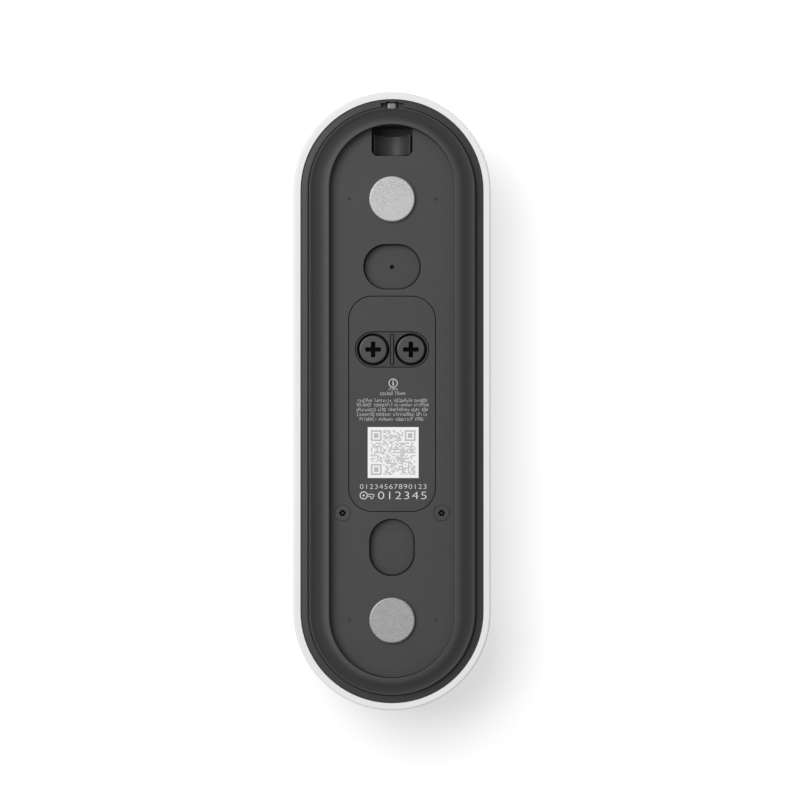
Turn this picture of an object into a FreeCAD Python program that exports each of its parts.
import FreeCAD, Part
import math
import os
from types import SimpleNamespace

import Sketcher
from FreeCAD import Placement, Rotation, Vector

# A wired video doorbell: an upright, round-ended case that hangs on a wall.
# +Z is up and +Y points into the wall. The origin is the middle of the wall face, so a "depth" in
# this file is the distance from the wall towards the visitor, along -Y.
# A "slot" is an outline of two half circles joined by straight sides. Its "reach" is the distance
# from its middle to the centre of either half circle.

DIMENSIONS = {
    # Case
    "case_radius": 20.9,
    "case_reach": 44.6,
    "case_depth": 27.0,
    "rim_depth": 2.0,
    "case_wall": 1.5,
    "front_wall": 2.6,
    "front_round": 8.5,
    "cavity_round": 6.0,
    "rim_round": 0.45,
    "hairline": 0.1,
    # Camera window, in the upper half of the front
    "window_radius": 12.0,
    "window_reach": 14.6,
    "window_height": 30.0,
    "window_thickness": 1.6,
    "window_round": 0.25,
    "window_ledge": 1.2,
    # Camera
    "lens_height": 44.6,
    "camera_board_depth": 9.8,
    "camera_board_side": 12.6,
    "board_thickness": 1.0,
    "sensor_width": 6.6,
    "sensor_height": 5.2,
    "sensor_thickness": 0.9,
    "holder_side": 12.4,
    "holder_cavity": 9.4,
    "holder_cavity_end": 12.8,
    "filter_side": 7.0,
    "filter_thickness": 0.3,
    "filter_seat_end": 13.2,
    "holder_flange_depth": 14.2,
    "holder_flange_radius": 9.2,
    "holder_tube_radius": 5.6,
    "holder_tube_end": 18.0,
    "lens_thread_radius": 4.0,
    "lens_thread_start": 13.6,
    "lens_head_radius": 5.2,
    "lens_head_start": 18.2,
    "lens_head_end": 24.0,
    "lens_bore": 3.0,
    "lens_seat_depth": 21.6,
    "front_lens_radius": 4.4,
    "front_lens_edge": 1.4,
    "front_lens_crown": 1.2,
    "hood_radius": 6.3,
    "hood_bore": 5.4,
    "hood_flange_radius": 7.1,
    "hood_flange": 0.5,
    "ir_board_depth": 20.0,
    "ir_board_radius": 11.5,
    "ir_board_bore": 6.6,
    "ir_led_side": 2.8,
    "ir_led_thickness": 1.4,
    "ir_led_circle": 9.2,
    "light_sensor_side": 2.0,
    "light_sensor_thickness": 0.8,
    "camera_flex_width": 8.0,
    "camera_flex_top": 42.0,
    "camera_flex_turn": 34.0,
    "camera_flex_bottom": 20.0,
    "flex_thickness": 0.2,
    # Doorbell button, concentric with the lower end of the case
    "button_height": -44.6,
    "button_radius": 10.6,
    "button_proud": 0.4,
    "button_edge": 0.5,
    "button_shell": 1.6,
    "button_skirt": 9.0,
    "button_flange_radius": 11.6,
    "button_flange_depth": 22.65,
    "button_flange": 0.9,
    "button_nub_radius": 1.6,
    "button_nub_depth": 22.2,
    "ring_radius": 12.0,
    "ring_bore": 10.68,
    "ring_flange_radius": 13.2,
    "ring_flange": 0.8,
    "ring_edge": 0.3,
    "seal_bore": 11.7,
    "seal_thickness": 0.4,
    "frame_radius": 13.9,
    "frame_bore": 12.2,
    "button_board_depth": 19.4,
    "switch_side": 5.0,
    "switch_thickness": 1.2,
    "switch_floor": 0.2,
    "plunger_radius": 1.2,
    "plunger_depth": 21.15,
    "plunger_length": 1.0,
    "running_gap": 0.05,
    "ring_led_circle": 11.2,
    "ring_led_side": 1.0,
    "ring_led_thickness": 0.65,
    "button_flex_width": 4.0,
    "button_flex_bottom": -36.0,
    "button_flex_turn": -30.3,
    "button_flex_top": -24.0,
    # Rear bezel, seal and cover
    "bezel_radius": 19.3,
    "bezel_seam": 0.4,
    "bezel_bore": 17.85,
    "bezel_slope": 1.2,
    "bezel_slope_fall": 0.35,
    "bezel_end": 6.0,
    "ledge_bore": 16.6,
    "ledge_depth": 4.6,
    "oring_radius": 17.2,
    "oring_width": 0.6,
    "oring_groove": 0.5,
    "cover_depth": 2.5,
    "cover_thickness": 2.0,
    "cover_radius": 17.6,
    # Gasket
    "gasket_radius": 17.65,
    "gasket_bore": 13.25,
    "gasket_bore_reach": 45.25,
    "gasket_crest": 0.1,
    "channel_radius": 15.9,
    "channel_depth": 0.9,
    "channel_curve": 8.0,
    "bead_inner": 17.0,
    "bead_outer": 17.35,
    "bead_curve": 1.6,
    "bead_round": 0.3,
    # Rear cover's features
    "label_width": 18.6,
    "label_length": 45.85,
    "label_corner": 5.1,
    "label_height": -0.56,
    "label_thickness": 0.7,
    "label_seam": 0.2,
    "magnet_radius": 4.9,
    "magnet_proud": 0.9,
    "magnet_thickness": 1.8,
    "magnet_round": 0.35,
    "upper_magnet_height": 42.85,
    "lower_magnet_height": -46.4,
    "magnet_boss_radius": 6.2,
    "magnet_boss": 0.6,
    "pip_offset": 9.1,
    "pip_radius": 0.3,
    "pip_rise": 0.3,
    "pip_round": 0.25,
    "dimple_radius": 4.85,
    "dimple_reach": 1.27,
    "dimple_sink": 1.8,
    "dimple_seam": 0.3,
    "dimple_seam_sink": 0.7,
    "dimple_boss": 1.0,
    "dimple_boss_margin": 0.8,
    "upper_dimple_height": 28.5,
    "lower_dimple_height": -31.0,
    "pinhole_radius": 0.5,
    "cover_screw_offset": 10.5,
    "cover_screw_height": -23.7,
    "cover_screw_head": 1.62,
    "cover_screw_head_depth": 2.6,
    "cover_screw_head_thickness": 0.85,
    "cover_screw_length": 6.0,
    "cover_post_radius": 2.2,
    "cover_post_hole": 6.4,
    "screw_radius": 1.0,
    "screw_hole": 1.15,
    "thread_gap": 0.03,
    "torx_radius": 0.58,
    "torx_lobe": 0.2,
    "torx_sink": 0.75,
    "torx_pin": 0.2,
    "torx_pin_sink": 0.2,
    # Latch pocket and release pin, at the top of the rear
    "pocket_width": 8.7,
    "pocket_bottom": 52.0,
    "pocket_top": 58.5,
    "pocket_corner": 1.3,
    "pocket_step": 56.35,
    "pocket_step_arch": 0.55,
    "pocket_end": 4.75,
    "pocket_deep_end": 10.4,
    "moat_width": 0.5,
    "moat_end": 7.2,
    "trough_lip": 0.25,
    "trough_sink": 2.2,
    "tower_width": 10.9,
    "tower_bottom": 51.2,
    "tower_top": 59.6,
    "tower_end": 11.5,
    "pin_depth": 3.5,
    "pin_radius": 0.65,
    "pin_reach": 0.55,
    "pin_top": 63.35,
    "pin_round": 0.3,
    "pin_gap": 0.05,
    "pin_tail_radius": 0.5,
    "pin_tail_bottom": 58.55,
    "pin_ear_width": 3.1,
    "pin_ear_bottom": 60.75,
    "pin_ear_top": 61.25,
    "chamber_bottom": 58.9,
    "chamber_top": 61.3,
    "spring_wire": 0.18,
    "spring_radius": 0.66,
    "spring_turns": 2.5,
    "notch_width": 4.7,
    "notch_top": 63.2,
    "notch_sink": 1.4,
    "pin_notch_width": 2.6,
    "pin_notch_bottom": 61.85,
    "pin_notch_top": 63.45,
    "pin_notch_end": 4.3,
    "tool_hole": 0.7,
    # Wire terminals
    "terminal_height": 10.97,
    "terminal_radius": 3.84,
    "terminal_reach": 4.04,
    "terminal_gap": 0.16,
    "terminal_floor": 2.85,
    "terminal_offset": 4.0,
    "terminal_well": 3.45,
    "terminal_head_radius": 3.04,
    "terminal_head_depth": 2.75,
    "terminal_head_thickness": 1.85,
    "terminal_head_round": 0.35,
    "washer_radius": 2.9,
    "washer_thickness": 0.8,
    "terminal_thread_radius": 1.7,
    "terminal_thread_end": 9.0,
    "cross_length": 3.3,
    "cross_width": 0.95,
    "cross_sink": 1.5,
    "tab_radius": 2.95,
    "tab_thickness": 1.0,
    "tab_leg_width": 1.6,
    "tab_leg_thickness": 0.6,
    "tab_leg_offset": 2.5,
    "terminal_width": 18.4,
    "terminal_length": 11.0,
    "rib_width": 0.45,
    "rib_reach": 2.9,
    "rib_groove": 0.2,
    "rib_groove_sink": 0.7,
    "shank_clearance": 2.0,
    # Power board
    "power_board_depth": 9.4,
    "power_board_width": 26.0,
    "power_board_length": 53.0,
    "power_board_height": 6.5,
    "board_corner": 2.0,
    "power_post_radius": 1.5,
    "power_post_offset": 11.0,
    "power_post_top": 30.0,
    "power_post_bottom": -17.0,
    "reset_switch_side": 4.5,
    "reset_switch_thickness": 2.0,
    "reset_switch_floor": 1.0,
    "reset_plunger_radius": 1.0,
    "reset_plunger_depth": 5.7,
    "reset_plunger_length": 2.35,
    "transformer_width": 11.0,
    "transformer_length": 10.0,
    "transformer_thickness": 6.2,
    "transformer_offset": 4.8,
    "transformer_height": -9.0,
    "transformer_flange": 1.0,
    "winding_radius": 3.8,
    "capacitor_radius": 2.5,
    "capacitor_thickness": 5.8,
    "capacitor_offset": -6.5,
    "capacitor_height": -13.5,
    "capacitor_pitch": 6.6,
    "capacitor_round": 0.4,
    "rectifier_width": 6.5,
    "rectifier_length": 5.0,
    "rectifier_thickness": 2.5,
    "rectifier_height": 21.0,
    "connector_width": 12.0,
    "connector_length": 3.6,
    "connector_height": 11.5,
    # Main board
    "main_board_depth": 17.4,
    "main_board_width": 24.0,
    "main_board_length": 51.0,
    "main_board_height": -1.5,
    "shield_width": 18.0,
    "shield_length": 20.0,
    "shield_thickness": 2.0,
    "shield_height": 12.0,
    "spreader_width": 23.0,
    "spreader_length": 24.0,
    "spreader_thickness": 0.8,
    "cell_width": 22.0,
    "cell_length": 21.0,
    "cell_thickness": 4.4,
    "cell_height": -19.0,
    "cell_round": 0.8,
    "microphone_width": 3.5,
    "microphone_length": 2.7,
    "microphone_thickness": 1.0,
    "microphone_height": -3.5,
    "mic_hole": 0.5,
    "boot_radius": 1.7,
    "boot_bore": 0.6,
    "antenna_thickness": 0.2,
    "antenna_depth": 8.0,
    "antenna_width": 6.0,
    "antenna_length": 28.0,
    "antenna_height": -6.0,
    # Chassis
    "chassis_depth": 15.4,
    "chassis_thickness": 1.2,
    "chassis_radius": 19.0,
    "chassis_bottom": -50.0,
    "camera_hole": 6.0,
    "flex_slot_width": 10.0,
    "flex_slot_length": 2.0,
    "chassis_window_width": 22.4,
    "chassis_window_length": 34.0,
    "chassis_window_height": -2.0,
    "chassis_screw_offset": 15.2,
    "chassis_screw_height": 26.0,
    "chassis_head_radius": 1.9,
    "chassis_head_thickness": 1.2,
    "chassis_screw_length": 5.6,
    "boss_radius": 2.4,
    "boss_end": 24.8,
    "ir_post_offset": 6.8,
    "ir_post_radius": 1.2,
    "main_post_radius": 1.5,
    "main_post_offset": 9.5,
    "main_post_top": 21.0,
    "main_post_bottom": -23.5,
    "button_post_offset": 11.5,
    "button_post_height": -41.0,
    # Loudspeaker, facing down through the lower end of the case
    "speaker_depth": 12.2,
    "speaker_radius": 6.2,
    "speaker_bore": 5.5,
    "speaker_face": -60.0,
    "speaker_back": -57.0,
    "speaker_plate": 0.8,
    "speaker_magnet_radius": 4.2,
    "speaker_magnet_back": -53.2,
    "gap_inner": 2.8,
    "gap_outer": 3.5,
    "gap_back": -54.8,
    "cone_radius": 5.42,
    "cone_face": -58.9,
    "cone_thickness": 0.35,
    "coil_inner": 3.0,
    "coil_outer": 3.3,
    "coil_back": -55.4,
    "speaker_gasket_bore": 5.0,
    "speaker_mesh_face": -61.0,
    "speaker_mesh_thickness": 0.2,
    "grille_radius": 0.55,
    "grille_reach": 2.2,
    "grille_pitch": 2.0,
}
SPEAKER_SLOTS = 5
RING_LEDS = 8
CAPACITORS = 3

doc = FreeCAD.newDocument("video_doorbell")
sheet = doc.addObject("Spreadsheet::Sheet", "Dims")
for row, (alias, value) in enumerate(DIMENSIONS.items(), start=1):
    sheet.set(f"A{row}", alias.replace("_", " "))
    sheet.set(f"B{row}", str(value))
    sheet.setAlias(f"B{row}", alias)
doc.recompute()

nodes = []


class Length:
    """A length that carries both its value and its formula in the sheet's cells."""

    def __init__(self, value, text=None):
        self.value = float(value)
        self.text = text or repr(self.value)

    def __add__(self, other):
        other = length(other)
        return Length(self.value + other.value, f"({self.text} + {other.text})")

    def __sub__(self, other):
        other = length(other)
        return Length(self.value - other.value, f"({self.text} - {other.text})")

    def __mul__(self, factor):
        factor = length(factor)
        return Length(self.value * factor.value, f"({self.text} * {factor.text})")

    def __truediv__(self, divisor):
        divisor = length(divisor)
        return Length(self.value / divisor.value, f"({self.text} / {divisor.text})")

    def __neg__(self):
        return Length(-self.value, f"(-{self.text})")


def length(number):
    return number if isinstance(number, Length) else Length(number)


d = SimpleNamespace(**{alias: Length(value, f"Dims.{alias}") for alias, value in DIMENSIONS.items()})
NONE = Length(0)

CASE_END = d.case_reach + d.case_radius
THROUGH_WALL = CASE_END - d.case_wall * 2
PAST_WALL = CASE_END + d.hairline
FRONT_INSIDE = d.case_depth - d.front_wall
WINDOW_BACK = d.case_depth - d.window_thickness
COVER_INSIDE = d.cover_depth + d.cover_thickness
CHASSIS_FRONT = d.chassis_depth + d.chassis_thickness
CAMERA_BOARD_FRONT = d.camera_board_depth + d.board_thickness
IR_BOARD_FRONT = d.ir_board_depth + d.board_thickness
BUTTON_BOARD_FRONT = d.button_board_depth + d.board_thickness
POWER_BOARD_FRONT = d.power_board_depth + d.board_thickness
MAIN_BOARD_FRONT = d.main_board_depth + d.board_thickness
RING_BACK = FRONT_INSIDE - d.ring_flange
MAGNET_END = d.cover_depth - d.magnet_proud + d.magnet_thickness
DIMPLE_FLOOR = d.cover_depth + d.dimple_sink
DIMPLE_BOSS_END = COVER_INSIDE + d.dimple_boss
HEAD_SEAT = d.cover_screw_head_depth + d.cover_screw_head_thickness
TERMINAL_HEAD_END = d.terminal_head_depth + d.terminal_head_thickness
TAB_DEPTH = TERMINAL_HEAD_END + d.washer_thickness
TAB_END = TAB_DEPTH + d.tab_thickness
TAB_LEG_LEVELS = (d.terminal_height + d.tab_leg_offset, d.terminal_height - d.tab_leg_offset)
PIN_SIDE = d.pin_radius + d.pin_reach
CHASSIS_SCREWS = [
    (side, level)
    for side in (d.chassis_screw_offset, -d.chassis_screw_offset)
    for level in (d.chassis_screw_height, -d.chassis_screw_height)
]


def bind(obj, **properties):
    """Ties properties of an object to the sheet. In their names, two underscores stand for a dot."""
    for name, amount in properties.items():
        obj.setExpression(name.replace("__", "."), length(amount).text)


def keep(obj, label):
    """Makes an object one of the doorbell's sub-parts, under that name."""
    obj.Label = label
    nodes.append(obj)
    return obj


# Outlines. Each of these returns a function that draws one closed outline in a sketch.


def constrain(s, name, kind, *arguments):
    """Adds a driving dimension to a sketch. Its last argument is the length it is tied to."""
    *places, amount = arguments
    index = s.addConstraint(Sketcher.Constraint(kind, *places, length(amount).value))
    s.renameConstraint(index, name)
    s.setExpression("Constraints." + name, length(amount).text)


def place(s, item, position, x, z):
    """Fixes a point of an item at x and z of a sketch."""
    if length(x).value:
        constrain(s, f"x{item}_{position}", "DistanceX", -1, 1, item, position, x)
    else:
        s.addConstraint(Sketcher.Constraint("PointOnObject", item, position, -2))
    if length(z).value:
        constrain(s, f"z{item}_{position}", "DistanceY", -1, 1, item, position, z)
    else:
        s.addConstraint(Sketcher.Constraint("PointOnObject", item, position, -1))


def chain(s, pieces, joint):
    """Draws a closed run of lines (two points each) and arcs (three points each)."""
    first = s.GeometryCount
    starts = []
    for points in pieces:
        item = s.addGeometry(Part.LineSegment(*points) if len(points) == 2 else Part.ArcOfCircle(*points))
        starts.append(1 if s.getPoint(item, 1).distanceToPoint(points[0]) < 1e-6 else 2)
    for k, start in enumerate(starts):
        following = (k + 1) % len(starts)
        ends = first + k, 3 - start, first + following, starts[following]
        s.addConstraint(Sketcher.Constraint(joint, *ends))
    return first, starts


def circle(radius, x=NONE, z=NONE):
    def draw(s):
        middle = Vector(length(x).value, length(z).value)
        item = s.addGeometry(Part.Circle(middle, Vector(0, 0, 1), radius.value))
        place(s, item, 3, x, z)
        constrain(s, f"radius{item}", "Radius", item, radius)

    return draw


def slot(radius, reach, level=False):
    def draw(s):
        along, across = (Vector(1, 0), Vector(0, -1)) if level else (Vector(0, 1), Vector(1, 0))
        r, a = across * radius.value, along * reach.value
        pieces = [
            (a + r, a + along * radius.value, a - r),
            (a - r, -a - r),
            (-a - r, -a - along * radius.value, -a + r),
            (-a + r, a + r),
        ]
        first, _ = chain(s, pieces, "Tangent")
        s.addConstraint(Sketcher.Constraint("Equal", first, first + 2))
        s.addConstraint(Sketcher.Constraint("Symmetric", first, 3, first + 2, 3, -1, 1))
        place(s, first, 3, reach if level else NONE, NONE if level else reach)
        constrain(s, f"radius{first}", "Radius", first, radius)

    return draw


def rounded(width, height, corner):
    """A rectangle with round corners."""

    def draw(s):
        r = corner.value
        x, z = width.value / 2 - r, height.value / 2 - r
        slant = r * math.sqrt(0.5)
        pieces = []
        turns = [(1, 1), (-1, 1), (-1, -1), (1, -1)]
        for k, (sx, sz) in enumerate(turns):
            middle = Vector(x * sx, z * sz)
            sides = [middle + Vector(r * sx, 0), middle + Vector(0, r * sz)]
            a, b = sides if k % 2 == 0 else reversed(sides)
            pieces.append((a, middle + Vector(slant * sx, slant * sz), b))
        runs = [(pieces[k][2], pieces[(k + 1) % 4][0]) for k in range(4)]
        first, _ = chain(s, [piece for pair in zip(pieces, runs) for piece in pair], "Tangent")
        for k in range(4):
            s.addConstraint(Sketcher.Constraint("Vertical" if k % 2 else "Horizontal", first + 2 * k + 1))
            if k:
                s.addConstraint(Sketcher.Constraint("Equal", first, first + 2 * k))
        s.addConstraint(Sketcher.Constraint("Symmetric", first, 3, first + 4, 3, -1, 1))
        constrain(s, f"corner{first}", "Radius", first, corner)
        constrain(s, f"width{first}", "DistanceX", first + 4, 3, first, 3, width - corner * 2)
        constrain(s, f"height{first}", "DistanceY", first + 4, 3, first, 3, height - corner * 2)

    return draw


def rectangle(left, right, bottom, top):
    def draw(s):
        xs = [length(x) for x in (left, right, right, left)]
        zs = [length(z) for z in (bottom, bottom, top, top)]
        points = [Vector(x.value, z.value) for x, z in zip(xs, zs)]
        first, starts = chain(s, [(points[k], points[(k + 1) % 4]) for k in range(4)], "Coincident")
        for k in range(4):
            s.addConstraint(Sketcher.Constraint("Vertical" if k % 2 else "Horizontal", first + k))
        place(s, first, starts[0], xs[0], zs[0])
        place(s, first + 2, starts[2], xs[2], zs[2])

    return draw


def arched(width, bottom, rise, top):
    """A rectangle whose lower side is an arc that dips to bottom in the middle."""

    def draw(s):
        x, low, side, high = [length(v).value for v in (width / 2, bottom, bottom + rise, top)]
        left, right = Vector(-x, side), Vector(x, side)
        pieces = [
            (Vector(x, high), Vector(-x, high)),
            (Vector(-x, high), left),
            (left, Vector(0, low), right),
            (right, Vector(x, high)),
        ]
        first, starts = chain(s, pieces, "Coincident")
        half = width / 2
        corners = [(half, top), (-half, top), (-half, bottom + rise), (half, bottom + rise)]
        for k, corner in enumerate(corners):
            place(s, first + k, starts[k], *corner)
        radius = (width * width / 4 + rise * rise) / (rise * 2)
        constrain(s, f"arch{first}", "Radius", first + 2, radius)

    return draw


def centred(width, height, x=NONE, z=NONE):
    """A rectangle about a middle point."""
    x, z = length(x), length(z)
    return rectangle(x - width / 2, x + width / 2, z - height / 2, z + height / 2)


def all_of(*draws):
    def draw(s):
        for each in draws:
            each(s)

    return draw


def mirrored(radius, x, z):
    """Two circles, one either side of the middle."""
    return all_of(circle(radius, x, z), circle(radius, -x, z))


# Features of a body.


def new_body(label):
    return keep(doc.addObject("PartDesign::Body", label), label)


def sketch(body, role, draw, offset, x=NONE, y=NONE):
    """A sketch parallel to one of the body's origin planes."""
    made = body.newObject("Sketcher::SketchObject", "outline")
    plane = next(o for o in body.Origin.OriginFeatures if o.Role == role)
    made.AttachmentSupport = [(plane, "")]
    made.MapMode = "FlatFace"
    bind(made, AttachmentOffset__Base__z=offset)
    if length(x).value:
        bind(made, AttachmentOffset__Base__x=x)
    if length(y).value:
        bind(made, AttachmentOffset__Base__y=y)
    draw(made)
    made.Visibility = False
    return made


def feature(body, kind, drawn, start, end):
    made = body.newObject("PartDesign::" + kind, kind.lower())
    made.Profile = drawn
    made.Reversed = kind == "Pocket"
    bind(made, Length=length(end) - start)
    return made


def pad(body, draw, start, end, x=NONE, z=NONE):
    """Adds an outline's solid between two depths."""
    return feature(body, "Pad", sketch(body, "XZ_Plane", draw, start, x, z), start, end)


def pocket(body, draw, start, end, x=NONE, z=NONE):
    """Cuts an outline away between two depths."""
    return feature(body, "Pocket", sketch(body, "XZ_Plane", draw, start, x, z), start, end)


def upright_pad(body, draw, bottom, top, depth):
    """Adds a level outline's solid between two heights."""
    return feature(body, "Pad", sketch(body, "XY_Plane", draw, bottom, NONE, -depth), bottom, top)


def upright_pocket(body, draw, bottom, top, depth, x=NONE):
    """Cuts a level outline away between two heights."""
    return feature(body, "Pocket", sketch(body, "XY_Plane", draw, bottom, x, -depth), bottom, top)


def fillet(body, radius, chosen):
    """Rounds the edges that chosen picks from the body so far."""
    doc.recompute()
    base = body.Tip
    names = [f"Edge{k}" for k, edge in enumerate(base.Shape.Edges, start=1) if chosen(edge.BoundBox)]
    made = body.newObject("PartDesign::Fillet", "fillet")
    made.Base = (base, names)
    bind(made, Radius=radius)
    return made


def slope(body, width, fall, chosen):
    """Bevels the rim of a face that chosen picks: width in across the face, fall down its side."""
    doc.recompute()
    base = body.Tip
    names = [f"Edge{k}" for k, edge in enumerate(base.Shape.Edges, start=1) if chosen(edge.BoundBox)]
    made = body.newObject("PartDesign::Chamfer", "slope")
    made.Base = (base, names)
    made.ChamferType = "Two distances"
    bind(made, Size=fall, Size2=width)
    return made


def at_depth(depth, beyond=NONE):
    """Picks the edges at that depth, or only those that reach further than beyond from the middle."""
    y, least = -depth.value, beyond.value

    def chosen(box):
        flat = abs(box.YMin - y) < 1e-4 and abs(box.YMax - y) < 1e-4
        return flat and max(-box.XMin, box.XMax) > least - 1e-4

    return chosen


# Primitives and booleans.


def rod(radius, start, end, x=NONE, z=NONE):
    """A cylinder between two depths."""
    made = doc.addObject("Part::Cylinder", "rod")
    made.Placement = Placement(Vector(), Rotation(Vector(1, 0, 0), 90))
    bind(made, Radius=radius, Height=length(end) - start)
    bind(made, Placement__Base__x=x, Placement__Base__y=-length(start), Placement__Base__z=z)
    return made


def upright_rod(radius, bottom, top, depth):
    """A cylinder between two heights."""
    made = doc.addObject("Part::Cylinder", "rod")
    bind(made, Radius=radius, Height=length(top) - bottom)
    bind(made, Placement__Base__y=-depth, Placement__Base__z=bottom)
    return made


def block(width, bottom, top, start, end, x=NONE):
    """A box between two depths and two heights, centred on x."""
    made = doc.addObject("Part::Box", "block")
    bind(made, Length=width, Width=length(end) - start, Height=length(top) - bottom)
    bind(made, Placement__Base__x=length(x) - length(width) / 2)
    bind(made, Placement__Base__y=-length(end), Placement__Base__z=bottom)
    return made


def chip(width, height, start, thickness, x=NONE, z=NONE):
    """A box that stands on a board."""
    z = length(z)
    return block(width, z - height / 2, z + height / 2, start, start + thickness, x)


def fuse(*shapes):
    made = doc.addObject("Part::MultiFuse", "fusion")
    made.Shapes = list(shapes)
    made.Refine = True
    return made


def cut(base, *tools):
    made = doc.addObject("Part::Cut", "cut")
    made.Base = base
    made.Tool = tools[0] if len(tools) == 1 else fuse(*tools)
    return made


def common(base, tool):
    made = doc.addObject("Part::Common", "common")
    made.Base = base
    made.Tool = tool
    return made


def group(*shapes):
    """Separate solids that share one node."""
    made = doc.addObject("Part::Compound", "group")
    made.Links = list(shapes)
    return made


def soften(base, radius, chosen):
    """Rounds the edges that chosen picks from a primitive or a boolean."""
    doc.recompute()
    made = doc.addObject("Part::Fillet", "softened")
    made.Base = base
    edges = enumerate(base.Shape.Edges, start=1)
    made.Edges = [(k, radius.value, radius.value) for k, edge in edges if chosen(edge.BoundBox)]
    return made


# The sub-parts.


def make_front_housing():
    body = new_body("front_housing")
    pad(body, slot(d.case_radius, d.case_reach), d.rim_depth, d.case_depth)
    pocket(body, slot(d.case_radius - d.case_wall, d.case_reach), d.rim_depth, FRONT_INSIDE)
    fillet(body, d.cavity_round, at_depth(FRONT_INSIDE))
    fillet(body, d.front_round, at_depth(d.case_depth))
    fillet(body, d.rim_round, at_depth(d.rim_depth, beyond=d.case_radius))
    recess = slot(d.window_radius + d.hairline, d.window_reach)
    pocket(body, recess, WINDOW_BACK, d.case_depth + d.hairline, z=d.window_height)
    opening = slot(d.window_radius - d.window_ledge, d.window_reach)
    pocket(body, opening, FRONT_INSIDE - d.hairline, d.case_depth, z=d.window_height)
    holes = all_of(
        circle(d.ring_radius + d.hairline, z=d.button_height),
        circle(d.mic_hole, z=d.microphone_height),
    )
    pocket(body, holes, FRONT_INSIDE - d.hairline, d.case_depth + d.hairline)
    pad(body, all_of(*[circle(d.boss_radius, *spot) for spot in CHASSIS_SCREWS]), CHASSIS_FRONT, d.boss_end)
    threads = all_of(*[circle(d.screw_radius + d.thread_gap, *spot) for spot in CHASSIS_SCREWS])
    pocket(body, threads, CHASSIS_FRONT, CHASSIS_FRONT + d.chassis_screw_length)
    outermost = d.grille_pitch * ((1 - SPEAKER_SLOTS) / 2)
    opening = slot(d.grille_radius, d.grille_reach)
    first = upright_pocket(body, opening, -PAST_WALL, -THROUGH_WALL, d.speaker_depth, x=outermost)
    grille = body.newObject("PartDesign::LinearPattern", "grille")
    grille.Originals = [first]
    grille.Direction = (first.Profile[0], ["H_Axis"])
    grille.Occurrences = SPEAKER_SLOTS
    bind(grille, Length=d.grille_pitch * (SPEAKER_SLOTS - 1))
    body.Tip = grille
    upright_pocket(body, circle(d.tool_hole), THROUGH_WALL, PAST_WALL, d.pin_depth)


def make_camera_window():
    body = new_body("camera_window")
    pad(body, slot(d.window_radius, d.window_reach), WINDOW_BACK, d.case_depth, z=d.window_height)
    fillet(body, d.window_round, at_depth(d.case_depth))


def make_rear_bezel():
    body = new_body("rear_bezel")
    seam_end = d.rim_depth + d.bezel_seam
    pad(body, slot(d.case_radius - d.case_wall, d.case_reach), seam_end, d.bezel_end)
    pad(body, slot(d.bezel_radius, d.case_reach), d.rim_depth, seam_end)
    slope(body, d.bezel_slope, d.bezel_slope_fall, at_depth(d.rim_depth))
    pocket(body, slot(d.bezel_bore, d.case_reach), d.rim_depth, d.ledge_depth)
    pocket(body, slot(d.ledge_bore, d.case_reach), d.ledge_depth, d.bezel_end)
    pocket(body, seal_ring(), d.ledge_depth, d.ledge_depth + d.oring_groove)
    half = d.notch_width / 2
    shallow = rectangle(-half, half, d.pin_notch_bottom, d.notch_top)
    pocket(body, shallow, d.rim_depth, d.rim_depth + d.notch_sink)
    half = d.pin_notch_width / 2
    deep = rectangle(-half, half, d.pin_notch_bottom, d.pin_notch_top)
    pocket(body, deep, d.rim_depth, d.pin_notch_end)
    upright_pocket(body, circle(d.tool_hole), d.pin_notch_top - d.hairline, PAST_WALL, d.pin_depth)


def seal_ring():
    half = d.oring_width / 2
    return all_of(slot(d.oring_radius + half, d.case_reach), slot(d.oring_radius - half, d.case_reach))


def make_cover_seal():
    body = new_body("cover_seal")
    pad(body, seal_ring(), COVER_INSIDE, d.ledge_depth + d.oring_groove)


def make_rear_cover():
    body = new_body("rear_cover")
    pad(body, slot(d.cover_radius, d.case_reach), d.cover_depth, COVER_INSIDE)
    levels = (d.upper_magnet_height, d.lower_magnet_height)
    bosses = [circle(d.magnet_boss_radius, z=z) for z in levels]
    pad(body, all_of(*bosses), COVER_INSIDE, COVER_INSIDE + d.magnet_boss)
    magnets = [circle(d.magnet_radius, z=z) for z in levels]
    pocket(body, all_of(*magnets), d.cover_depth, MAGNET_END)
    add_pips(body, levels)
    ends = (d.power_post_top, d.power_post_bottom)
    posts = [mirrored(d.power_post_radius, d.power_post_offset, z) for z in ends]
    pad(body, all_of(*posts), COVER_INSIDE, d.power_board_depth)
    recess = rounded(d.label_width, d.label_length, d.label_corner)
    pocket(body, recess, d.cover_depth, d.cover_depth + d.label_thickness, z=d.label_height)
    terminals = slot(d.terminal_radius, d.terminal_reach, level=True)
    pocket(body, terminals, d.cover_depth, COVER_INSIDE + d.hairline, z=d.terminal_height)
    add_dimple(body, d.upper_dimple_height, level=True)
    add_dimple(body, d.lower_dimple_height, level=False)
    pinhole = circle(d.pinhole_radius, z=d.upper_dimple_height)
    pocket(body, pinhole, d.cover_depth, DIMPLE_BOSS_END + d.hairline)
    spot = d.cover_screw_offset, d.cover_screw_height
    pocket(body, mirrored(d.cover_screw_head + d.hairline, *spot), d.cover_depth, HEAD_SEAT)
    pocket(body, mirrored(d.screw_hole, *spot), HEAD_SEAT, COVER_INSIDE + d.hairline)
    add_latch_pocket(body)
    add_pin_channel(body)


def add_pips(body, levels):
    """Locating bumps either side of each magnet."""
    top = d.cover_depth - d.pip_rise
    pad(body, all_of(*[mirrored(d.pip_radius, d.pip_offset, z) for z in levels]), top, d.cover_depth)
    fillet(body, d.pip_round, at_depth(top))


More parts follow.
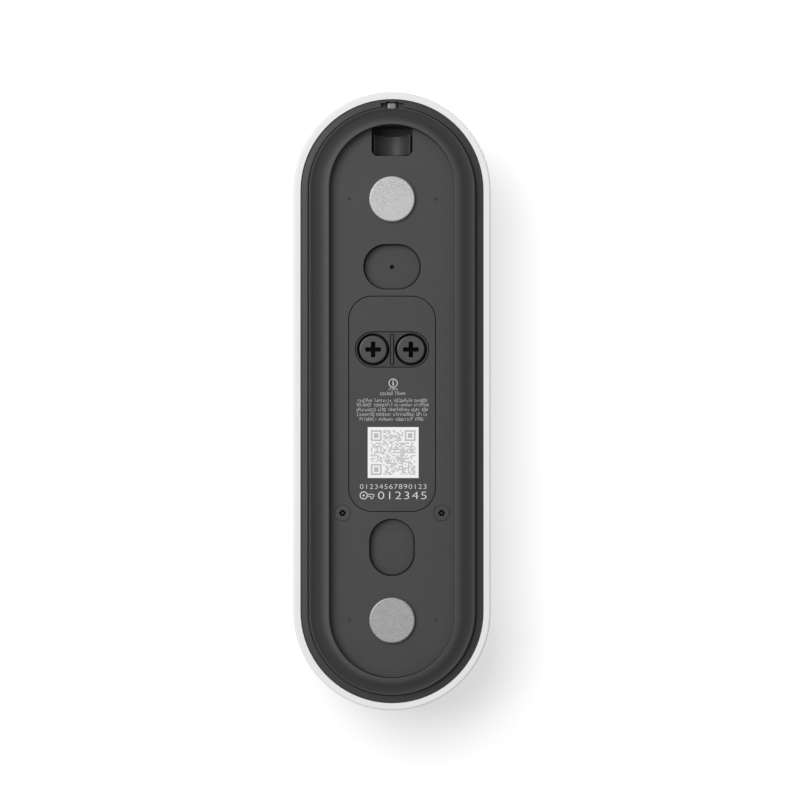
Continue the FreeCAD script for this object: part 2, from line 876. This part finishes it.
def add_dimple(body, z, level):
    """A finger-sized hollow whose floor has a thin seam all round it."""
    outline = slot(d.dimple_radius, d.dimple_reach, level)
    inner = slot(d.dimple_radius - d.dimple_seam, d.dimple_reach, level)
    backing = slot(d.dimple_radius + d.dimple_boss_margin, d.dimple_reach, level)
    pad(body, backing, COVER_INSIDE, DIMPLE_BOSS_END, z=z)
    pocket(body, outline, d.cover_depth, DIMPLE_FLOOR, z=z)
    pocket(body, all_of(outline, inner), DIMPLE_FLOOR, DIMPLE_FLOOR + d.dimple_seam_sink, z=z)


def add_latch_pocket(body):
    """A pocket with a moat round a trough, and a deeper arched slot at its top for the latch."""
    half, tower = d.pocket_width / 2, d.tower_width / 2
    pad(body, rectangle(-tower, tower, d.tower_bottom, d.tower_top), COVER_INSIDE, d.tower_end)
    pocket(body, rectangle(-half, half, d.pocket_bottom, d.pocket_top), d.cover_depth, d.moat_end)
    side, bottom = half.value, d.pocket_bottom.value

    def lower_corner(box):
        across_depth = box.XMax - box.XMin < 1e-4 and box.ZMax - box.ZMin < 1e-4
        return across_depth and abs(box.ZMin - bottom) < 1e-4 and abs(abs(box.XMin) - side) < 1e-4

    fillet(body, d.pocket_corner, lower_corner)
    inner = half - d.moat_width
    island = rectangle(-inner, inner, d.pocket_bottom + d.moat_width, d.pocket_top)
    pad(body, island, d.pocket_end, d.moat_end)
    floor = d.pocket_end + d.trough_sink
    width = (inner - d.trough_lip) * 2
    trough = arched(width, -floor, d.trough_sink, d.hairline - d.pocket_end)
    upright_pocket(body, trough, d.pocket_bottom + d.moat_width, d.pocket_top, NONE)
    deep = arched(d.pocket_width, d.pocket_step, d.pocket_step_arch, d.pocket_top)
    pocket(body, deep, d.pocket_end - d.hairline, d.pocket_deep_end)


def add_pin_channel(body):
    """The channel that the release pin and its spring slide in, from the pocket to the cover's edge."""
    ears = d.pin_ear_width / 2 + d.pin_gap
    bar = PIN_SIDE + d.pin_gap
    chamber_end = d.pin_depth + d.spring_radius + d.spring_wire / 2 + d.pin_gap
    pocket(body, rectangle(-ears, ears, d.chamber_bottom, d.chamber_top), d.cover_depth, chamber_end)
    end = d.pin_depth + d.pin_radius + d.pin_gap
    past_edge = d.case_reach + d.cover_radius + d.hairline
    pocket(body, rectangle(-bar, bar, d.chamber_top, past_edge), d.cover_depth, end)
    upright_pocket(body, circle(d.pin_tail_radius + d.pin_gap), d.pocket_top, d.chamber_bottom, d.pin_depth)


def make_wall_gasket():
    body = new_body("wall_gasket")
    path = sketch(body, "XZ_Plane", slot(d.channel_radius, d.case_reach), NONE)
    bead_rise = d.gasket_radius - d.bead_outer

    def section(s):
        inner = d.gasket_bore - d.hairline * 2
        corners = [
            (inner, d.cover_depth),
            (inner, d.gasket_crest),
            (d.channel_radius, d.channel_depth),
            (d.bead_inner, NONE),
            (d.bead_outer, NONE),
            (d.gasket_radius, bead_rise),
            (d.gasket_radius, d.cover_depth),
        ]
        curves = {1: (d.channel_curve, 1), 2: (d.bead_curve, 1), 4: (d.bead_round, -1)}
        points = [Vector(x.value, -depth.value) for x, depth in corners]
        pieces = []
        for k, a in enumerate(points):
            b = points[(k + 1) % len(points)]
            if k not in curves:
                pieces.append((a, b))
                continue
            radius, side = curves[k][0].value, curves[k][1]
            half = (b - a).Length / 2
            rise = radius - math.sqrt(radius**2 - half**2)
            way = (b - a) / (2 * half)
            pieces.append((a, (a + b) / 2 + Vector(way.y, -way.x) * rise * side, b))
        first, starts = chain(s, pieces, "Coincident")
        for k, (x, depth) in enumerate(corners):
            place(s, first + k, starts[k], x, -depth if depth.value else NONE)
            if k in curves:
                constrain(s, f"curve{k}", "Radius", first + k, curves[k][0])

    profile = sketch(body, "XY_Plane", section, NONE)
    doc.recompute()
    sweep = body.newObject("PartDesign::AdditivePipe", "sweep")
    sweep.Profile = profile
    sweep.Spine = (path, [f"Edge{k}" for k in range(1, 5)])
    trim = slot(d.gasket_bore, d.gasket_bore_reach)
    pocket(body, trim, -d.hairline, d.cover_depth + d.hairline)
    half = d.pin_notch_width / 2
    notch = rectangle(-half, half, d.pin_notch_bottom, d.pin_notch_top)
    pocket(body, notch, -d.hairline, d.cover_depth + d.hairline)


def make_label_insert():
    body = new_body("label_insert")
    width, height = d.label_width - d.label_seam * 2, d.label_length - d.label_seam * 2
    outline = rounded(width, height, d.label_corner - d.label_seam)
    pad(body, outline, d.cover_depth, d.cover_depth + d.label_thickness, z=d.label_height)
    opening = slot(d.terminal_radius, d.terminal_reach, level=True)
    end = d.cover_depth + d.label_thickness + d.hairline
    pocket(body, opening, d.cover_depth - d.hairline, end, z=d.terminal_height)


def make_magnets():
    start = d.cover_depth - d.magnet_proud
    for label, z in (("upper_magnet", d.upper_magnet_height), ("lower_magnet", d.lower_magnet_height)):
        disc = rod(d.magnet_radius, start, MAGNET_END, z=z)
        keep(soften(disc, d.magnet_round, at_depth(start)), label)


def make_cover_screws():
    screws = []
    for x in (d.cover_screw_offset, -d.cover_screw_offset):
        z = d.cover_screw_height
        head = rod(d.cover_screw_head, d.cover_screw_head_depth, HEAD_SEAT, x, z)
        shank = rod(d.screw_radius, HEAD_SEAT, HEAD_SEAT + d.cover_screw_length, x, z)
        top = d.cover_screw_head_depth - d.hairline
        recess_end = d.cover_screw_head_depth + d.torx_sink
        lobes = [rod(d.torx_radius, top, recess_end, x, z)]
        for k in range(6):
            turn = math.radians(60 * k)
            across, up = d.torx_radius * math.cos(turn), d.torx_radius * math.sin(turn)
            lobes.append(rod(d.torx_lobe, top, recess_end, x + across, z + up))
        pin = rod(d.torx_pin, d.cover_screw_head_depth + d.torx_pin_sink, recess_end, x, z)
        screws.append(cut(fuse(head, shank), cut(fuse(*lobes), pin)))
    keep(group(*screws), "cover_screws")


def make_terminal_block():
    body = new_body("terminal_block")
    z, far = d.terminal_height, d.power_board_depth
    pad(body, centred(d.terminal_width, d.terminal_length), COVER_INSIDE, far, z=z)
    boss = slot(d.terminal_radius - d.terminal_gap, d.terminal_reach, level=True)
    pad(body, boss, d.terminal_floor, COVER_INSIDE, z=z)
    groove = slot(d.rib_width / 2 + d.rib_groove, d.rib_reach)
    pocket(body, groove, d.terminal_floor, d.terminal_floor + d.rib_groove_sink, z=z)
    rib = slot(d.rib_width / 2, d.rib_reach)
    pad(body, rib, d.cover_depth, d.terminal_floor + d.rib_groove_sink, z=z)
    wells = mirrored(d.terminal_well, d.terminal_offset, z)
    pocket(body, wells, d.terminal_floor - d.hairline, TAB_DEPTH)
    pocket(body, mirrored(d.tab_radius + d.pin_gap, d.terminal_offset, z), TAB_DEPTH, TAB_END)
    pocket(body, mirrored(d.shank_clearance, d.terminal_offset, z), TAB_END, far)
    width, thick = d.tab_leg_width + d.pin_gap * 2, d.tab_leg_thickness + d.pin_gap * 2
    sides = (d.terminal_offset, -d.terminal_offset)
    legs = [centred(width, thick, x, level) for x in sides for level in TAB_LEG_LEVELS]
    pocket(body, all_of(*legs), TAB_END, far)


def make_terminals():
    z = d.terminal_height
    tabs = []
    for side, x in (("left", d.terminal_offset), ("right", -d.terminal_offset)):
        head = rod(d.terminal_head_radius, d.terminal_head_depth, TERMINAL_HEAD_END, x, z)
        head = soften(head, d.terminal_head_round, at_depth(d.terminal_head_depth))
        shank = rod(d.terminal_thread_radius, TERMINAL_HEAD_END, d.terminal_thread_end, x, z)
        start, end = d.terminal_head_depth - d.hairline, d.terminal_head_depth + d.cross_sink
        cross = [
            chip(d.cross_length, d.cross_width, start, end - start, x, z),
            chip(d.cross_width, d.cross_length, start, end - start, x, z),
        ]
        keep(cut(fuse(head, shank), *cross), f"terminal_screw_{side}")
        hole = d.terminal_thread_radius + d.running_gap
        washer = rod(d.washer_radius, TERMINAL_HEAD_END, TAB_DEPTH, x, z)
        keep(cut(washer, rod(hole, TERMINAL_HEAD_END, TAB_DEPTH, x, z)), f"clamp_washer_{side}")
        disc = rod(d.tab_radius, TAB_DEPTH, TAB_END, x, z)
        run = d.power_board_depth - TAB_END
        wide, thick = d.tab_leg_width, d.tab_leg_thickness
        legs = [chip(wide, thick, TAB_END, run, x, level) for level in TAB_LEG_LEVELS]
        tabs.append(cut(fuse(disc, *legs), rod(hole, TAB_DEPTH, TAB_END, x, z)))
    keep(group(*tabs), "terminal_tabs")


def make_release_pin():
    body = new_body("release_pin")
    bar = slot(d.pin_radius, d.pin_reach, level=True)
    upright_pad(body, circle(d.pin_tail_radius), d.pin_tail_bottom, d.pin_ear_bottom, d.pin_depth)
    ears = centred(d.pin_ear_width, d.pin_radius * 2)
    upright_pad(body, ears, d.pin_ear_bottom, d.pin_ear_top, d.pin_depth)
    upright_pad(body, bar, d.pin_ear_top, d.pin_top, d.pin_depth)
    top = d.pin_top.value
    fillet(body, d.pin_round, lambda box: abs(box.ZMin - top) < 1e-4)


def make_release_spring():
    body = new_body("release_spring")
    room = (d.spring_wire + d.pin_gap) / 2
    bottom = d.chamber_bottom + room
    wire = sketch(body, "XZ_Plane", circle(d.spring_wire / 2, d.spring_radius), d.pin_depth, NONE, bottom)
    doc.recompute()
    coil = body.newObject("PartDesign::AdditiveHelix", "coil")
    coil.Profile = wire
    coil.ReferenceAxis = (wire, ["V_Axis"])
    coil.Mode = "height-turns-angle"
    bind(coil, Height=d.pin_ear_bottom - room - bottom, Turns=d.spring_turns)


def make_reset():
    z = d.upper_dimple_height
    start = d.power_board_depth - d.reset_switch_thickness
    housing = chip(d.reset_switch_side, d.reset_switch_side, start, d.reset_switch_thickness, z=z)
    bore_end = d.power_board_depth - d.reset_switch_floor
    bore = rod(d.reset_plunger_radius + d.running_gap, start, bore_end, z=z)
    keep(cut(housing, bore), "reset_switch")
    end = d.reset_plunger_depth + d.reset_plunger_length
    keep(rod(d.reset_plunger_radius, d.reset_plunger_depth, end, z=z), "reset_plunger")


def make_power_electronics():
    body = new_body("power_board")
    outline = rounded(d.power_board_width, d.power_board_length, d.board_corner)
    pad(body, outline, d.power_board_depth, POWER_BOARD_FRONT, z=d.power_board_height)
    x, z, start = d.transformer_offset, d.transformer_height, POWER_BOARD_FRONT
    end = start + d.transformer_thickness
    width, tall, flange = d.transformer_width, d.transformer_length, d.transformer_flange
    flanges = [chip(width, tall, depth, flange, x, z) for depth in (start, end - flange)]
    winding = rod(d.winding_radius, start + flange, end - flange, x, z)
    keep(fuse(*flanges, winding), "transformer")
    cans = []
    for k in range(CAPACITORS):
        z = d.capacitor_height + d.capacitor_pitch * k
        can = rod(d.capacitor_radius, start, start + d.capacitor_thickness, d.capacitor_offset, z)
        cans.append(soften(can, d.capacitor_round, at_depth(start + d.capacitor_thickness)))
    keep(group(*cans), "capacitors")
    width, tall, thick = d.rectifier_width, d.rectifier_length, d.rectifier_thickness
    keep(chip(width, tall, start, thick, z=d.rectifier_height), "bridge_rectifier")
    gap = d.main_board_depth - start
    keep(chip(d.connector_width, d.connector_length, start, gap, z=d.connector_height), "board_connector")


def make_main_electronics():
    body = new_body("main_board")
    start = MAIN_BOARD_FRONT
    outline = rounded(d.main_board_width, d.main_board_length, d.board_corner)
    pad(body, outline, d.main_board_depth, start, z=d.main_board_height)
    z = d.shield_height
    keep(chip(d.shield_width, d.shield_length, start, d.shield_thickness, z=z), "processor_shield")
    top = start + d.shield_thickness
    keep(chip(d.spreader_width, d.spreader_length, top, d.spreader_thickness, z=z), "heat_spreader")
    cell = chip(d.cell_width, d.cell_length, start, d.cell_thickness, z=d.cell_height)
    keep(soften(cell, d.cell_round, at_depth(start + d.cell_thickness)), "backup_cell")
    z = d.microphone_height
    top = start + d.microphone_thickness
    keep(chip(d.microphone_width, d.microphone_length, start, d.microphone_thickness, z=z), "microphone")
    boot = rod(d.boot_radius, top, FRONT_INSIDE, z=z)
    keep(cut(boot, rod(d.boot_bore, top, FRONT_INSIDE, z=z)), "microphone_boot")
    x = d.case_wall - d.case_radius + d.antenna_thickness / 2
    z, half = d.antenna_height, d.antenna_length / 2
    end = d.antenna_depth + d.antenna_width
    keep(block(d.antenna_thickness, z - half, z + half, d.antenna_depth, end, x), "wifi_antenna")


def make_chassis():
    body = new_body("chassis")
    pad(body, slot(d.chassis_radius, d.case_reach), d.chassis_depth, CHASSIS_FRONT)
    foot = rectangle(-d.case_radius, d.case_radius, -CASE_END, d.chassis_bottom)
    pocket(body, foot, d.chassis_depth, CHASSIS_FRONT)
    camera, four = d.lens_height, d.ir_post_offset
    ir_posts = [mirrored(d.ir_post_radius, four, z) for z in (camera - four, camera + four)]
    pad(body, all_of(*ir_posts), CHASSIS_FRONT, d.ir_board_depth)
    levels = (d.main_post_top, d.main_post_bottom)
    main_posts = [mirrored(d.main_post_radius, d.main_post_offset, z) for z in levels]
    pad(body, all_of(*main_posts), CHASSIS_FRONT, d.main_board_depth)
    button_posts = mirrored(d.main_post_radius, d.button_post_offset, d.button_post_height)
    pad(body, button_posts, CHASSIS_FRONT, d.button_board_depth)
    spot = d.cover_screw_offset, d.cover_screw_height
    pad(body, mirrored(d.cover_post_radius, *spot), COVER_INSIDE, d.chassis_depth)
    holes = mirrored(d.screw_radius + d.thread_gap, *spot)
    pocket(body, holes, COVER_INSIDE, COVER_INSIDE + d.cover_post_hole)
    openings = all_of(
        circle(d.camera_hole, z=camera),
        centred(d.flex_slot_width, d.flex_slot_length, z=d.camera_flex_turn),
        *[circle(d.screw_hole, *screw) for screw in CHASSIS_SCREWS],
    )
    pocket(body, openings, d.chassis_depth, CHASSIS_FRONT)
    window = rounded(d.chassis_window_width, d.chassis_window_length, d.board_corner)
    pocket(body, window, d.chassis_depth, CHASSIS_FRONT, z=d.chassis_window_height)


def make_chassis_screws():
    screws = []
    for x, z in CHASSIS_SCREWS:
        head = rod(d.chassis_head_radius, d.chassis_depth - d.chassis_head_thickness, d.chassis_depth, x, z)
        shank = rod(d.screw_radius, d.chassis_depth, d.chassis_depth + d.chassis_screw_length, x, z)
        screws.append(fuse(head, shank))
    keep(group(*screws), "chassis_screws")


def make_camera():
    z = d.lens_height
    side = d.camera_board_side
    keep(chip(side, side, d.camera_board_depth, d.board_thickness, z=z), "camera_board")
    sensor = chip(d.sensor_width, d.sensor_height, CAMERA_BOARD_FRONT, d.sensor_thickness, z=z)
    keep(sensor, "image_sensor")
    body = new_body("camera_holder")
    seat = d.filter_side + d.hairline
    pad(body, centred(d.holder_side, d.holder_side), CAMERA_BOARD_FRONT, d.holder_flange_depth, z=z)
    pad(body, circle(d.holder_flange_radius), d.holder_flange_depth, d.chassis_depth, z=z)
    pad(body, circle(d.holder_tube_radius), d.chassis_depth, d.holder_tube_end, z=z)
    pocket(body, centred(d.holder_cavity, d.holder_cavity), CAMERA_BOARD_FRONT, d.holder_cavity_end, z=z)
    pocket(body, centred(seat, seat), d.holder_cavity_end, d.filter_seat_end, z=z)
    pocket(body, circle(d.lens_thread_radius + d.thread_gap), d.filter_seat_end, d.holder_tube_end, z=z)
    start = d.filter_seat_end - d.filter_thickness
    keep(chip(d.filter_side, d.filter_side, start, d.filter_thickness, z=z), "ir_filter")
    body = new_body("lens_barrel")
    pad(body, circle(d.lens_thread_radius), d.lens_thread_start, d.lens_head_start, z=z)
    pad(body, circle(d.lens_head_radius), d.lens_head_start, d.lens_head_end, z=z)
    pocket(body, circle(d.lens_bore), d.lens_thread_start, d.lens_seat_depth, z=z)
    pocket(body, circle(d.front_lens_radius), d.lens_seat_depth, d.lens_head_end, z=z)
    edge, crown = d.lens_seat_depth + d.front_lens_edge, d.front_lens_crown
    curve = (d.front_lens_radius * d.front_lens_radius + crown * crown) / (crown * 2)
    ball = doc.addObject("Part::Sphere", "ball")
    bind(ball, Radius=curve, Placement__Base__y=curve - edge - crown, Placement__Base__z=z)
    keep(common(rod(d.front_lens_radius, d.lens_seat_depth, edge + crown, z=z), ball), "front_lens")
    flange = rod(d.hood_flange_radius, IR_BOARD_FRONT, IR_BOARD_FRONT + d.hood_flange, z=z)
    tube = rod(d.hood_radius, IR_BOARD_FRONT, WINDOW_BACK, z=z)
    hole = rod(d.hood_bore, IR_BOARD_FRONT, WINDOW_BACK, z=z)
    keep(cut(fuse(flange, tube), hole), "lens_hood")
    board = rod(d.ir_board_radius, d.ir_board_depth, IR_BOARD_FRONT, z=z)
    keep(cut(board, rod(d.ir_board_bore, d.ir_board_depth, IR_BOARD_FRONT, z=z)), "ir_board")
    spread = d.ir_led_circle * math.sqrt(0.5)
    spots = [(sx, sz) for sx in (1, -1) for sz in (1, -1)]
    leds = [
        chip(d.ir_led_side, d.ir_led_side, IR_BOARD_FRONT, d.ir_led_thickness, spread * sx, z + spread * sz)
        for sx, sz in spots
    ]
    keep(group(*leds), "ir_leds")
    side = d.light_sensor_side
    sensor = chip(side, side, IR_BOARD_FRONT, d.light_sensor_thickness, z=z - d.ir_led_circle)
    keep(sensor, "light_sensor")
    thick, width = d.flex_thickness, d.camera_flex_width
    back, turn = d.camera_board_depth - thick, d.camera_flex_turn
    upper = block(width, turn, d.camera_flex_top, back, d.camera_board_depth)
    across = block(width, turn, turn + thick, back, d.main_board_depth)
    lower = block(width, d.camera_flex_bottom, turn, d.main_board_depth - thick, d.main_board_depth)
    keep(fuse(upper, across, lower), "camera_flex")


def make_button():
    z = d.button_height
    front = d.case_depth + d.button_proud
    under = front - d.button_shell
    flange_end = d.button_flange_depth + d.button_flange
    body = new_body("button_cap")
    pad(body, circle(d.button_radius), d.button_flange_depth, front, z=z)
    fillet(body, d.button_edge, at_depth(front))
    pad(body, circle(d.button_flange_radius), d.button_flange_depth, flange_end, z=z)
    pocket(body, circle(d.button_skirt), d.button_flange_depth, under, z=z)
    pad(body, circle(d.button_nub_radius), d.button_nub_depth, under, z=z)
    body = new_body("light_ring")
    pad(body, circle(d.ring_radius), RING_BACK, d.case_depth, z=z)
    fillet(body, d.ring_edge, at_depth(d.case_depth))
    pad(body, circle(d.ring_flange_radius), RING_BACK, FRONT_INSIDE, z=z)
    pocket(body, circle(d.ring_bore), RING_BACK, d.case_depth + d.hairline, z=z)
    seal = RING_BACK - d.seal_thickness
    ring = rod(d.ring_flange_radius, seal, RING_BACK, z=z)
    keep(cut(ring, rod(d.seal_bore, seal, RING_BACK, z=z)), "button_seal")
    frame = rod(d.frame_radius, BUTTON_BOARD_FRONT, seal, z=z)
    keep(cut(frame, rod(d.frame_bore, BUTTON_BOARD_FRONT, seal, z=z)), "button_frame")
    keep(rod(d.frame_radius, d.button_board_depth, BUTTON_BOARD_FRONT, z=z), "button_board")
    leds = []
    for k in range(RING_LEDS):
        turn = math.radians(360 * (k + 0.5) / RING_LEDS)
        x, up = d.ring_led_circle * math.cos(turn), d.ring_led_circle * math.sin(turn)
        side = d.ring_led_side
        leds.append(chip(side, side, BUTTON_BOARD_FRONT, d.ring_led_thickness, x, z + up))
    keep(group(*leds), "ring_leds")
    switch = chip(d.switch_side, d.switch_side, BUTTON_BOARD_FRONT, d.switch_thickness, z=z)
    top = BUTTON_BOARD_FRONT + d.switch_thickness
    bore = rod(d.plunger_radius + d.running_gap, BUTTON_BOARD_FRONT + d.switch_floor, top, z=z)
    keep(cut(switch, bore), "button_switch")
    end = d.plunger_depth + d.plunger_length
    keep(rod(d.plunger_radius, d.plunger_depth, end, z=z), "button_plunger")
    thick, width, turn = d.flex_thickness, d.button_flex_width, d.button_flex_turn
    back = d.main_board_depth - thick
    lower = block(width, d.button_flex_bottom, turn, d.button_board_depth - thick, d.button_board_depth)
    across = block(width, turn, turn + thick, back, d.button_board_depth)
    upper = block(width, turn, d.button_flex_top, back, d.main_board_depth)
    keep(fuse(lower, across, upper), "button_flex")


def make_speaker():
    depth, face, back = d.speaker_depth, d.speaker_face, d.speaker_back
    basket = upright_rod(d.speaker_radius, face, back, depth)
    bore = upright_rod(d.speaker_bore, face, back - d.speaker_plate, depth)
    coil_hole = upright_rod(d.gap_outer, face, back, depth)
    keep(cut(basket, bore, coil_hole), "speaker_basket")
    magnet = upright_rod(d.speaker_magnet_radius, back, d.speaker_magnet_back, depth)
    outer, pole = [upright_rod(radius, back, d.gap_back, depth) for radius in (d.gap_outer, d.gap_inner)]
    keep(cut(magnet, cut(outer, pole)), "speaker_magnet")
    cone_back = d.cone_face + d.cone_thickness
    keep(upright_rod(d.cone_radius, d.cone_face, cone_back, depth), "speaker_cone")
    coil = upright_rod(d.coil_outer, cone_back, d.coil_back, depth)
    keep(cut(coil, upright_rod(d.coil_inner, cone_back, d.coil_back, depth)), "voice_coil")
    ring = upright_rod(d.speaker_radius, -CASE_END, face, depth)
    ring = cut(ring, upright_rod(d.speaker_gasket_bore, -CASE_END, face, depth))
    round_end = FRONT_INSIDE - d.cavity_round
    inside = rod(d.case_radius - d.case_wall, d.bezel_end, round_end, z=-d.case_reach)
    keep(common(ring, inside), "speaker_gasket")
    mesh_back = d.speaker_mesh_face + d.speaker_mesh_thickness
    keep(upright_rod(d.speaker_gasket_bore, d.speaker_mesh_face, mesh_back, depth), "speaker_mesh")


make_front_housing()
make_camera_window()
make_rear_bezel()
make_cover_seal()
make_rear_cover()
make_wall_gasket()
make_label_insert()
make_magnets()
make_cover_screws()
make_terminal_block()
make_terminals()
make_release_pin()
make_release_spring()
make_reset()
make_power_electronics()
make_main_electronics()
make_chassis()
make_chassis_screws()
make_camera()
make_button()
make_speaker()
doc.recompute()

for obj in doc.Objects:
    if {"Invalid", "Error"} & set(obj.State):
        raise RuntimeError(f"{obj.Label} did not compute: {obj.State}")
for node in nodes:
    if node.Shape.isNull() or not node.Shape.isValid() or not node.Shape.Solids:
        raise RuntimeError(f"{node.Label} is not a sound solid")

os.makedirs("parts", exist_ok=True)
for node in nodes:
    node.Shape.exportStep(os.path.join("parts", f"{node.Label}.step"))
    print(f"{node.Label}: {len(node.Shape.Solids)} solid, {node.Shape.Volume:.1f} mm3")
